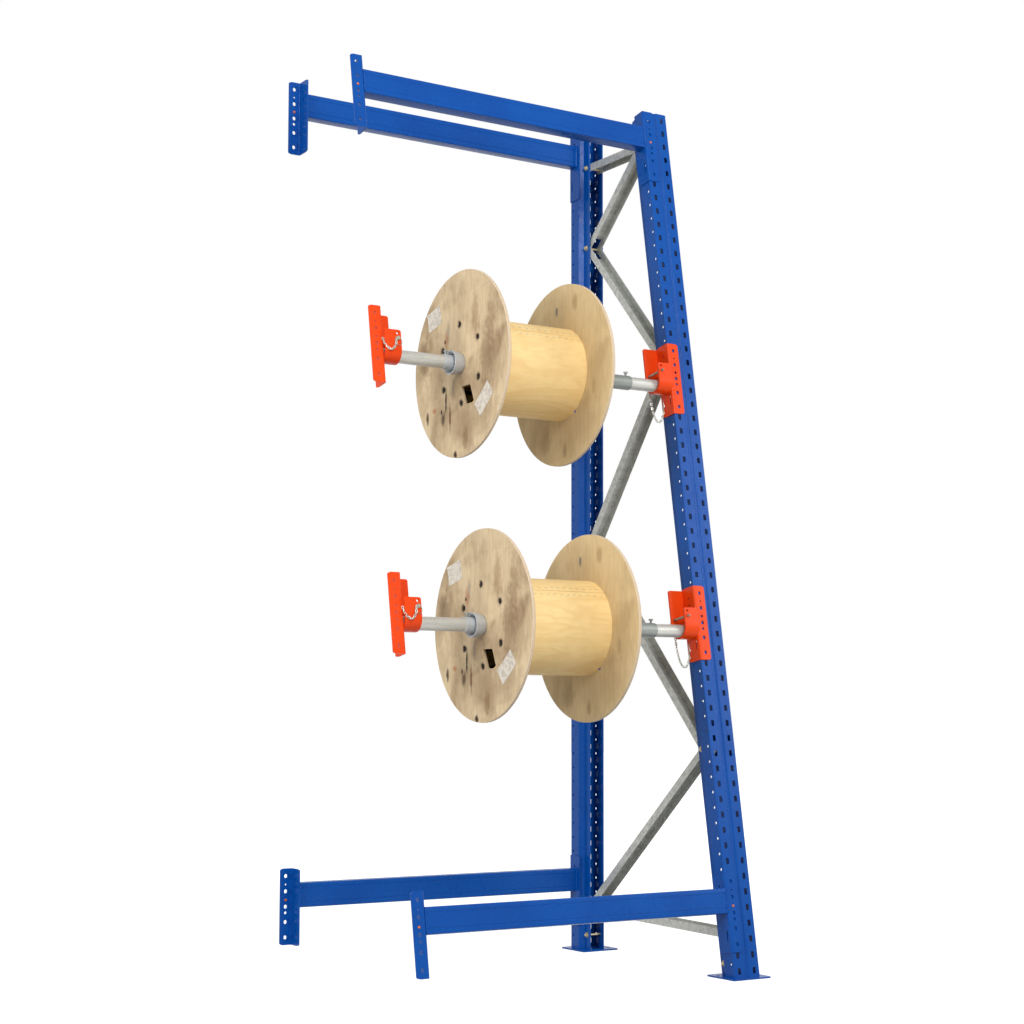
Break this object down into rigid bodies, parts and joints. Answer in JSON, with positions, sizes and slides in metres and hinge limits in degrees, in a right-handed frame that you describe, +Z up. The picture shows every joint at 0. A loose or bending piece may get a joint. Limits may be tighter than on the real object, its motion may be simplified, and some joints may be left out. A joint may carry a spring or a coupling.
{
  "type": "cable reel storage rack",
  "caption": "Extension bay of cable reel racking: an A-shaped perforated side frame, hooked box beams and tube axles in hooked cradles, each carrying a plywood reel centred by cones.",
  "frame": {"origin": "middle of the bounding box at floor level", "axes": "+X along the bay towards the side frame, +Y from the leaning front upright to the rear one, +Z up"},
  "size_m": [1.265, 1.0735, 3],
  "materials": {
    "blue_paint": "satin powder coat",
    "orange_paint": "satin powder coat",
    "galvanised_steel": "dull zinc",
    "zinc_hardware": "bright zinc",
    "plywood": "bare, stained",
    "barrel_board": "bare",
    "clip_plastic": "matt"
  },
  "bodies": {
    "frame": {"front_upright": "blue_paint", "rear_upright": "blue_paint", "front_footplate": "blue_paint", "rear_footplate": "blue_paint", "foot_bolts": "zinc_hardware", "brace_bolts": "zinc_hardware", "beam_safety_clips": "clip_plastic", "keeper_chains": "zinc_hardware", "top_brace": "galvanised_steel", "diagonal_brace_1": "galvanised_steel", "diagonal_brace_2": "galvanised_steel", "diagonal_brace_3": "galvanised_steel", "diagonal_brace_4": "galvanised_steel", "diagonal_brace_5": "galvanised_steel", "bottom_brace": "galvanised_steel", "front_top_beam": "blue_paint", "front_bottom_beam": "blue_paint", "rear_top_beam": "blue_paint", "rear_bottom_beam": "blue_paint", "front_top_left_connector": "blue_paint", "front_top_right_connector": "blue_paint", "front_bottom_left_connector": "blue_paint", "front_bottom_right_connector": "blue_paint", "rear_top_left_connector": "blue_paint", "rear_top_right_connector": "blue_paint", "rear_bottom_left_connector": "blue_paint", "rear_bottom_right_connector": "blue_paint", "upper_left_hanger": "orange_paint", "upper_left_cradle": "orange_paint", "upper_right_hanger": "orange_paint", "upper_right_cradle": "orange_paint", "lower_left_hanger": "orange_paint", "lower_left_cradle": "orange_paint", "lower_right_hanger": "orange_paint", "lower_right_cradle": "orange_paint"},
    "upper_reel": {"upper_axle": "galvanised_steel", "upper_left_flange": "plywood", "upper_right_flange": "plywood", "upper_barrel": "barrel_board", "upper_tie_bolts": "zinc_hardware"},
    "upper_left_cone_set": {"upper_left_cone": "galvanised_steel", "upper_left_cone_screw": "zinc_hardware"},
    "upper_left_pin": {"upper_left_safety_pin": "zinc_hardware"},
    "upper_right_cone_set": {"upper_right_cone": "galvanised_steel", "upper_right_cone_screw": "zinc_hardware"},
    "upper_right_pin": {"upper_right_safety_pin": "zinc_hardware"},
    "lower_reel": {"lower_axle": "galvanised_steel", "lower_left_flange": "plywood", "lower_right_flange": "plywood", "lower_barrel": "barrel_board", "lower_tie_bolts": "zinc_hardware"},
    "lower_left_cone_set": {"lower_left_cone": "galvanised_steel", "lower_left_cone_screw": "zinc_hardware"},
    "lower_left_pin": {"lower_left_safety_pin": "zinc_hardware"},
    "lower_right_cone_set": {"lower_right_cone": "galvanised_steel", "lower_right_cone_screw": "zinc_hardware"},
    "lower_right_pin": {"lower_right_safety_pin": "zinc_hardware"}
  },
  "joints": [
    {"name": "upper_reel_spin", "type": "hinge", "parent": "frame", "child": "upper_reel", "pos_m": [-0.0425, -0.09502, 1.9532], "axis": [1, 0, 0], "continuous": true},
    {"name": "upper_left_cone_slide", "type": "slide", "parent": "upper_reel", "child": "upper_left_cone_set", "axis": [-1, 0, 0], "range_m": [0, 0.15]},
    {"name": "upper_left_pin_pull", "type": "slide", "parent": "frame", "child": "upper_left_pin", "axis": [0, -0.986, 0.1668], "range_m": [0, 0.095]},
    {"name": "upper_right_cone_slide", "type": "slide", "parent": "upper_reel", "child": "upper_right_cone_set", "axis": [1, 0, 0], "range_m": [0, 0.09]},
    {"name": "upper_right_pin_pull", "type": "slide", "parent": "frame", "child": "upper_right_pin", "axis": [0, 0.986, -0.1668], "range_m": [0, 0.095]},
    {"name": "lower_reel_spin", "type": "hinge", "parent": "frame", "child": "lower_reel", "pos_m": [-0.0425, -0.23678, 1.1151], "axis": [1, 0, 0], "continuous": true},
    {"name": "lower_left_cone_slide", "type": "slide", "parent": "lower_reel", "child": "lower_left_cone_set", "axis": [-1, 0, 0], "range_m": [0, 0.15]},
    {"name": "lower_left_pin_pull", "type": "slide", "parent": "frame", "child": "lower_left_pin", "axis": [0, -0.986, 0.1668], "range_m": [0, 0.095]},
    {"name": "lower_right_cone_slide", "type": "slide", "parent": "lower_reel", "child": "lower_right_cone_set", "axis": [1, 0, 0], "range_m": [0, 0.09]},
    {"name": "lower_right_pin_pull", "type": "slide", "parent": "frame", "child": "lower_right_pin", "axis": [0, 0.986, -0.1668], "range_m": [0, 0.095]}
  ]
}
